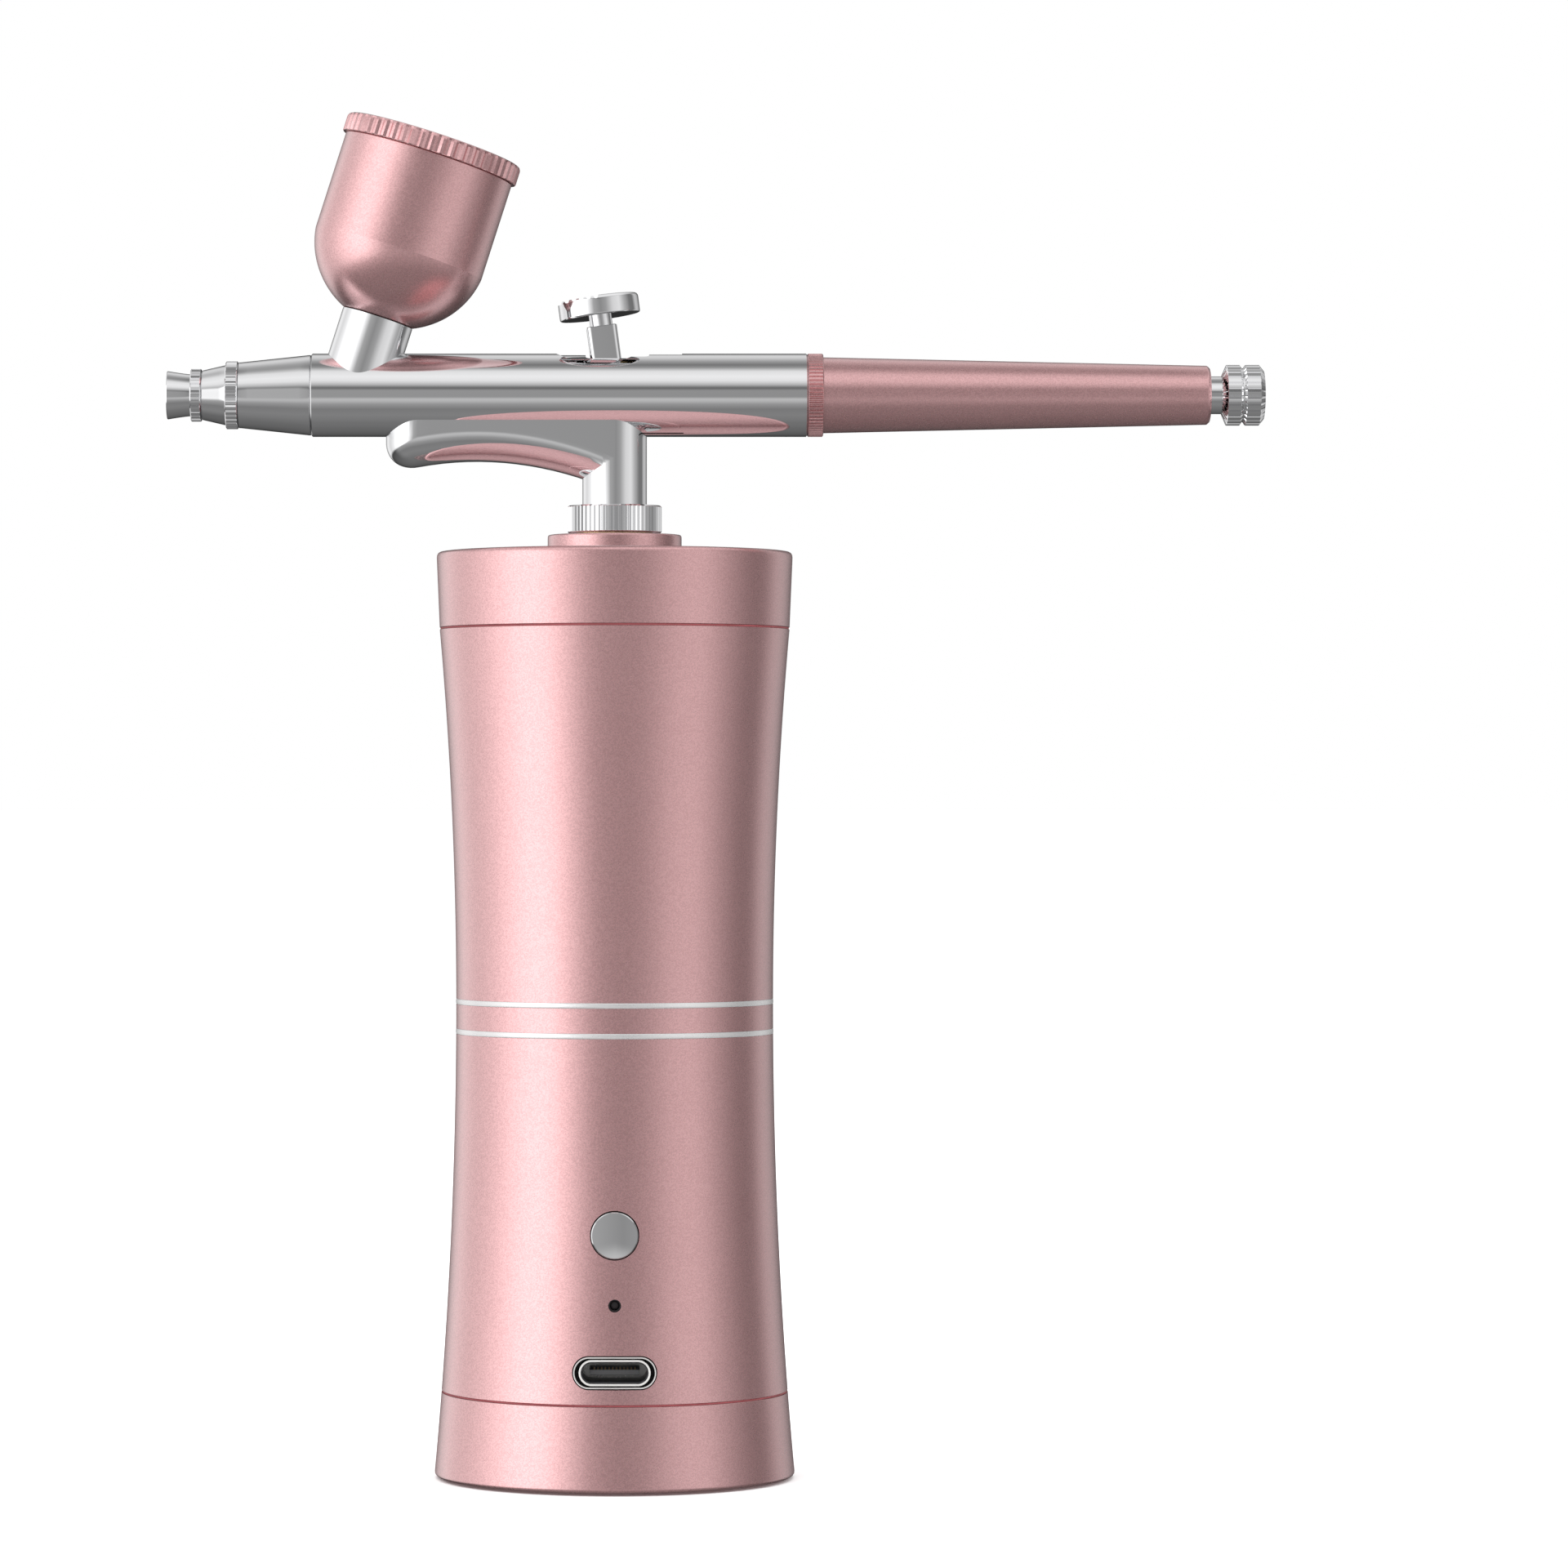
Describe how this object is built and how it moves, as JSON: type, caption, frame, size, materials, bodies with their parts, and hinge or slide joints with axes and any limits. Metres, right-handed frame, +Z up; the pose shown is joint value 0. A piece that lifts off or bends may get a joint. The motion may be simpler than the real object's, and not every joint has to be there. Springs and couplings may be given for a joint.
{
  "type": "airbrush gun",
  "caption": "Cordless gravity-feed airbrush: dual-action pen with tilted paint cup and tail handle, standing on a waisted handle that holds cells, motor and air pump.",
  "frame": {"origin": "centre of the rubber foot's flat underside, where the handle stands", "axes": "+Z up through the handle, -X along the barrel towards the nozzle, -Y out of the face with the button and charging socket"},
  "size_m": [0.1397, 0.0458, 0.1738],
  "materials": {
    "pink_metal": "satin rose-gold metallic lacquer with a fine flake",
    "chrome": "bright polished chrome plate",
    "steel": "turned stainless steel",
    "brass": "turned brass",
    "copper": "enamelled copper winding on a steel core, varnished",
    "nickel": "nickel-plated sheet",
    "black_rubber": "matte black rubber",
    "red_rubber": "matte dark red rubber",
    "white_plastic": "moulded off-white plastic",
    "black_plastic": "moulded black plastic",
    "circuit_green": "green solder mask",
    "cell_wrap": "blue shrink wrap",
    "magnet": "sintered ferrite",
    "clear_tube": "milky silicone"
  },
  "bodies": {
    "handle": {"bottom_cap": "pink_metal", "foot_pad": "black_rubber", "base_screw_1": "steel", "base_screw_2": "steel", "base_screw_3": "steel", "trim_ring_lower": "red_rubber", "trim_ring_upper": "red_rubber", "main_case": "pink_metal", "top_cap": "pink_metal", "button_switch": "black_plastic", "status_light": "black_plastic", "usb_bezel": "steel", "usb_shell": "nickel", "usb_tongue": "black_plastic", "circuit_board": "circuit_green", "chassis": "white_plastic", "battery_cell_left": "cell_wrap", "battery_cell_right": "cell_wrap", "battery_contact_lower": "nickel", "battery_contact_upper": "nickel", "motor_end_cap": "white_plastic", "motor_can": "steel", "motor_magnet_left": "magnet", "motor_magnet_right": "magnet", "pump_body": "black_plastic", "swing_frame": "white_plastic", "pump_diaphragm": "black_rubber", "valve_plate": "white_plastic", "pump_cover": "black_plastic", "outlet_fitting": "brass", "air_hose": "clear_tube", "outlet_seal": "black_rubber"},
    "button": {"power_button": "chrome"},
    "rotor": {"motor_rotor": "copper", "eccentric_wheel": "brass"},
    "airbrush": {"airbrush_body": "chrome", "head_sleeve": "chrome", "head_seal": "red_rubber", "fluid_nozzle": "brass", "nozzle_cap": "chrome", "needle_cap": "chrome", "needle_packing": "white_plastic", "valve_screw": "brass", "valve_spring": "steel", "valve_seal": "black_rubber", "spring_case": "steel", "needle_spring": "steel", "tail_handle": "pink_metal"},
    "nut": {"coupling_nut": "chrome"},
    "valve": {"valve_plunger": "steel"},
    "trigger": {"trigger": "chrome"},
    "needle_set": {"needle": "steel", "needle_guide": "brass", "needle_chuck_nut": "steel", "back_lever": "steel"},
    "limit_carrier": {"limit_stop": "brass"},
    "limit_knob": {"limit_knob": "chrome"},
    "cup": {"cup": "pink_metal", "cup_seal": "black_rubber"},
    "lid": {"cup_lid": "pink_metal"}
  },
  "joints": [
    {"name": "airbrush_swivel", "type": "hinge", "parent": "handle", "child": "airbrush", "pos_m": [0, 0, 0.122], "axis": [0, 0, 1], "range_deg": [-180, 180]},
    {"name": "nut_turn", "type": "hinge", "parent": "airbrush", "child": "nut", "pos_m": [0, 0, 0.122], "axis": [0, 0, 1], "range_deg": [-180, 180]},
    {"name": "trigger_press", "type": "slide", "parent": "airbrush", "child": "valve", "axis": [0, 0, -1], "range_m": [0, 0.0015], "stiffness_N_per_m": 600, "springref_m": -0.001, "deforming": ["valve_spring"]},
    {"name": "trigger_pull", "type": "hinge", "parent": "valve", "child": "trigger", "pos_m": [0, 0, 0.1343], "axis": [0, 1, 0], "range_deg": [0, 20]},
    {"name": "needle_draw", "type": "slide", "parent": "airbrush", "child": "needle_set", "axis": [1, 0, 0], "range_m": [0, 0.0025], "stiffness_N_per_m": 150, "springref_m": -0.004, "deforming": ["needle_spring"]},
    {"name": "limit_travel", "type": "slide", "parent": "airbrush", "child": "limit_carrier", "axis": [1, 0, 0], "range_m": [-0.0005, 0.0015]},
    {"name": "limit_turn", "type": "hinge", "parent": "limit_carrier", "child": "limit_knob", "pos_m": [0.08, 0, 0.1379], "axis": [1, 0, 0], "range_deg": [-360, 1080]},
    {"name": "cup_unscrew", "type": "slide", "parent": "airbrush", "child": "cup", "axis": [0.3057, 0, 0.9521], "range_m": [0, 0.016]},
    {"name": "lid_lift", "type": "slide", "parent": "cup", "child": "lid", "axis": [0.3057, 0, 0.9521], "range_m": [0, 0.016]},
    {"name": "button_press", "type": "slide", "parent": "handle", "child": "button", "axis": [0, 1, 0], "range_m": [0, 0.0005], "stiffness_N_per_m": 1500, "springref_m": -0.0005},
    {"name": "motor_spin", "type": "hinge", "parent": "handle", "child": "rotor", "pos_m": [0, 0, 0.08], "axis": [0, 0, 1], "continuous": true}
  ],
  "couplings": [
    {"joint": "trigger_pull", "follows": "needle_draw", "rad_per_m": 139.62},
    {"joint": "limit_turn", "follows": "limit_travel", "rad_per_m": 12566}
  ]
}
